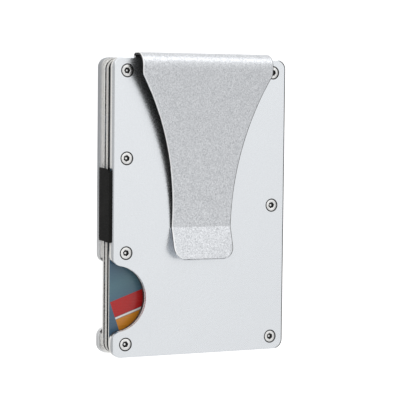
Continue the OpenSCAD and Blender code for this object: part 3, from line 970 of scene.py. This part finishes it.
def band_route(half_x, low_z, high_z, fold_z):
    """The loop's middle line as (x, z, outward x, outward z), anticlockwise from the rear run."""
    right = plain_side(half_x, low_z, high_z)
    folded = folded_side(half_x, low_z, high_z, fold_z)
    left = [(-x, z, -out_x, out_z) for x, z, out_x, out_z in reversed(folded)]
    front = flat_run(right[-1][0], left[0][0], high_z, 1.0)
    rear = flat_run(left[-1][0], right[0][0], low_z, -1.0)
    return right + front + left + rear


def band_thickness(across, along, width, thickness):
    """How far the elastic's surface stands off its middle line, with its ribs and its picks."""
    from_edge = width / 2 - abs(across)
    rounding = 1.0
    if from_edge < SELVEDGE:
        rounding = math.sqrt(max(1 - (1 - from_edge / SELVEDGE) ** 2, 0.0))
    pitch = width / BAND_RIBS
    rib = abs(math.sin(math.pi * (across + width / 2) / pitch)) ** RIB_ROUNDNESS
    number = math.floor((across + width / 2) / pitch)
    pick = math.cos(math.tau * along / PICK_PITCH + math.pi * number)
    return rounding * (thickness / 2 - RIB_HEIGHT * (1 - rib) + PICK_HEIGHT * pick * rib)


def band_edge_lifts(height):
    """How far the span's top and bottom edges stray along Y. The height is 0 at the rear, 1 in front.

    The top edge is tucked in where the elastic folds over the front plate.
    """
    tuck = hold((height - TUCK_FROM) / (TUCK_TO - TUCK_FROM))
    eased = tuck * tuck * (3 - 2 * tuck)
    top = TOP_LIFT * math.sin(math.pi * min(height, 1.0) ** TOP_LIFT_SKEW) - TUCK * eased
    return top, -BOTTOM_DROP * height ** 2


def band_ring(bm, place, along, lifts, width, thickness):
    """The elastic's outline at one place of its route: up its outer face and down its inner one."""
    x, y, z, out_x, out_z = place
    top_lift, bottom_lift = lifts
    wave = sum(size * math.sin(math.tau * along / length) for size, length in EDGE_WAVES)
    samples = BAND_RIBS * RIB_SAMPLES
    points = []
    for side in (1, -1):
        for k in range(samples):
            across = side * width * (k / samples - 0.5)
            off = side * band_thickness(across, along, width, thickness)
            reach = abs(across) / (width / 2)
            lift = top_lift if across > 0 else bottom_lift
            stray = reach * (math.copysign(1, across) * wave + lift)
            points.append(bm.verts.new((x + off * out_x, y + across + stray, z + off * out_z)))
    return points


def make_band():
    """The elastic: one ribbed loop through both halves, bulging out at the right side.

    At the left side it folds over the front plate's edge.
    """
    span_low, span_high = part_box("band_right_span")
    rear_low, rear_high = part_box("band_rear_run")
    front_low, front_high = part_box("band_front_run")
    thickness = span_high.x - span_low.x
    width = span_high.y - span_low.y
    middle_y = (span_low.y + span_high.y) / 2
    rear_z = (rear_low.z + rear_high.z) / 2
    front_z = (front_low.z + front_high.z) / 2
    half_x = (span_low.x + span_high.x) / 2
    fold_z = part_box("front_plate")[1].z - BAND_FOLD_BELOW_FACE - thickness / 2
    route = band_route(half_x, rear_z, front_z, fold_z)
    bm = bmesh.new()
    rings = []
    along = 0.0
    for i, (x, z, out_x, out_z) in enumerate(route):
        if i:
            along += math.hypot(x - route[i - 1][0], z - route[i - 1][1])
        outside = hold((abs(x) - half_x) / BAND_CORNER_R + 1.0)
        height = max((z - rear_z) / (front_z - rear_z), 0.0)
        lifts = [outside * lift for lift in band_edge_lifts(height)]
        rings.append(band_ring(bm, (x, middle_y, z, out_x, out_z), along, lifts, width, thickness))
    for first, second in zip(rings, rings[1:] + rings[:1]):
        bridge(bm, first, second)
    along += math.hypot(route[0][0] - route[-1][0], route[0][1] - route[-1][1])
    mesh = finish_mesh("elastic_band", bm, sharp_angle=60)
    piece = new_object("elastic_band", mesh, elastic, None)
    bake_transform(piece)
    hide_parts("band_front_run", "band_rear_run", "band_left_span", "band_right_span")


# ---------------------------------------------------------------- chip contacts

PAD_ROWS = 4
PAD_MARGIN = 0.35 * MM
PAD_GROOVE = 0.28 * MM
PAD_COLUMN_SHARE = 0.36
PAD_SUNK = 0.01 * MM
PAD_H = 0.04 * MM
PAD_CORNER_R = 0.5 * MM
PAD_CORNER_STEPS = 4
PAD_WALL_SHARE = 0.6


def add_pad(bm, left, right, bottom, top, base_z):
    """A low contact pad with rounded corners and a sloped rim."""
    rings = []
    for rise, inset in ((0.0, 0.0), (PAD_WALL_SHARE * PAD_H, 0.0), (PAD_H, PAD_H)):
        points = []
        for x, y, start in ((right, top, 0), (left, top, 90), (left, bottom, 180), (right, bottom, 270)):
            centre_x = x - math.copysign(PAD_CORNER_R, x - (left + right) / 2)
            centre_y = y - math.copysign(PAD_CORNER_R, y - (bottom + top) / 2)
            for step in range(PAD_CORNER_STEPS + 1):
                angle = math.radians(start + 90 * step / PAD_CORNER_STEPS)
                points.append(bm.verts.new((centre_x + (PAD_CORNER_R - inset) * math.cos(angle),
                                            centre_y + (PAD_CORNER_R - inset) * math.sin(angle),
                                            base_z + rise)))
        rings.append(points)
    bridge(bm, rings[0], rings[1])
    bridge(bm, rings[1], rings[2])
    bm.faces.new(rings[0])
    bm.faces.new(rings[2])


def make_contacts(number):
    """The contact pads on a card's chip: two columns of four, and one pad up the middle."""
    low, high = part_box(f"card_{number}_chip")
    left, right = low.x + PAD_MARGIN, high.x - PAD_MARGIN
    bottom, top = low.y + PAD_MARGIN, high.y - PAD_MARGIN
    base_z = high.z - PAD_SUNK
    column = (right - left) * PAD_COLUMN_SHARE
    row = (top - bottom - (PAD_ROWS - 1) * PAD_GROOVE) / PAD_ROWS
    bm = bmesh.new()
    for i in range(PAD_ROWS):
        y = bottom + i * (row + PAD_GROOVE)
        for x in (left, right - column):
            add_pad(bm, x, x + column, y, y + row, base_z)
    add_pad(bm, left + column + PAD_GROOVE, right - column - PAD_GROOVE, bottom, top, base_z)
    mesh = finish_mesh(f"card_{number}_contacts", bm, sharp_angle=30)
    new_object(f"card_{number}_contacts", mesh, gold, f"card_{number}_body")


# ---------------------------------------------------------------- floor, light and camera

WHITE = (1, 1, 1, 1)
FLOOR_GREY = (0.6, 0.6, 0.6, 1)
FLOOR_GLOW = 0.75
FLOOR_HALF = 3.0
FLOOR_GAP = 0.1 * MM

# Each ramp of the sky: the direction it runs along, where it starts and ends, and its light there.
# In turn they dim the light from behind on the left, from the left, from the right, from the wallet's
# lower end and from its upper end. The last one is a bright patch above the clip's bend.
WORLD_RAMPS = [((0.8, 0, 1.2), -1.45, -0.5, 0.54, 1.07),
               ((1, 0, 0), -1.0, -0.5, 0.95, 1.0),
               ((1, 0, 0), 0.5, 0.85, 1.0, 0.35),
               ((0, 1, 0), -0.35, 0.35, 0.80, 1.03),
               ((0, 1, 0), 0.6, 0.9, 1.0, 0.95),
               ((0.44, 0.84, 0.32), 0.93, 0.98, 1.0, 2.0)]


def make_floor():
    """A plain pale floor under the wallet. It doesn't light the wallet from below."""
    half = FLOOR_HALF
    z = cad_box[0].z - FLOOR_GAP
    mesh = bpy.data.meshes.new("floor")
    mesh.from_pydata([(-half, -half, z), (half, -half, z), (half, half, z), (-half, half, z)], [],
                     [(0, 1, 2, 3)])
    floor = bpy.data.objects.new("floor", mesh)
    bpy.context.scene.collection.objects.link(floor)
    floor.visible_glossy = False
    floor.visible_diffuse = False
    floor.visible_shadow = False
    surface = Surface("floor_white", 0.9)
    surface.set("Base Color", FLOOR_GREY)
    surface.set("Emission Color", WHITE)
    surface.set("Emission Strength", FLOOR_GLOW)
    mesh.materials.append(surface.material)


def make_world():
    """Soft light from all round, whose strength is the product of the ramps."""
    world = bpy.data.worlds.new("studio")
    bpy.context.scene.world = world
    world.use_nodes = True
    tree = world.node_tree
    background = tree.nodes["Background"]
    background.inputs["Color"].default_value = WHITE
    place = tree.nodes.new("ShaderNodeTexCoord").outputs["Generated"]
    strength = None
    for along, low, high, dim, bright in WORLD_RAMPS:
        reach = tree.nodes.new("ShaderNodeVectorMath")
        reach.operation = "DOT_PRODUCT"
        tree.links.new(place, reach.inputs[0])
        reach.inputs[1].default_value = along
        ramp = tree.nodes.new("ShaderNodeMapRange")
        ramp.interpolation_type = "SMOOTHSTEP"
        tree.links.new(reach.outputs["Value"], ramp.inputs["Value"])
        for socket, value in zip(("From Min", "From Max", "To Min", "To Max"), (low, high, dim, bright)):
            ramp.inputs[socket].default_value = value
        if strength is None:
            strength = ramp.outputs["Result"]
            continue
        product = tree.nodes.new("ShaderNodeMath")
        product.operation = "MULTIPLY"
        tree.links.new(strength, product.inputs[0])
        tree.links.new(ramp.outputs["Result"], product.inputs[1])
        strength = product.outputs["Value"]
    tree.links.new(strength, background.inputs["Strength"])


def make_camera():
    """A long lens in front of the wallet, with the wallet's length upright in the view."""
    level = math.cos(CAMERA_UP)
    back = Vector((math.sin(CAMERA_SIDE) * level, math.sin(CAMERA_UP), math.cos(CAMERA_SIDE) * level))
    right = (-back).cross(Vector((0, 1, 0))).normalized()
    up = right.cross(-back)
    across = math.cos(CAMERA_ROLL) * right + math.sin(CAMERA_ROLL) * up
    upward = math.cos(CAMERA_ROLL) * up - math.sin(CAMERA_ROLL) * right
    low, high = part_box("front_plate")
    target = Vector((0, (low.y + high.y) / 2, high.z)) + CAMERA_AIM
    place = target + back * CAMERA_DISTANCE
    data = bpy.data.cameras.new("camera")
    data.sensor_width = CAMERA_SENSOR
    data.lens = CAMERA_LENS
    data.clip_start = CAMERA_NEAR
    data.clip_end = CAMERA_FAR
    camera = bpy.data.objects.new("camera", data)
    bpy.context.scene.collection.objects.link(camera)
    matrix = camera.matrix_world.copy()
    for row in range(3):
        matrix[row][0], matrix[row][1], matrix[row][2] = across[row], upward[row], back[row]
        matrix[row][3] = place[row]
    camera.matrix_world = matrix
    bpy.context.scene.camera = camera


make_camera()
dress_cad_nodes()
make_screws("front_screws", FRONT, UP, PLATE_SCREW)
make_screws("rear_screws", REAR, DOWN, PLATE_SCREW)
make_screws("clip_screws", FRONT, DOWN, CLIP_SCREW)
make_clip()
make_band()
for card_number in range(1, len(CARDS) + 1):
    make_contacts(card_number)
make_floor()
make_world()
bpy.context.scene.view_settings.view_transform = "Standard"
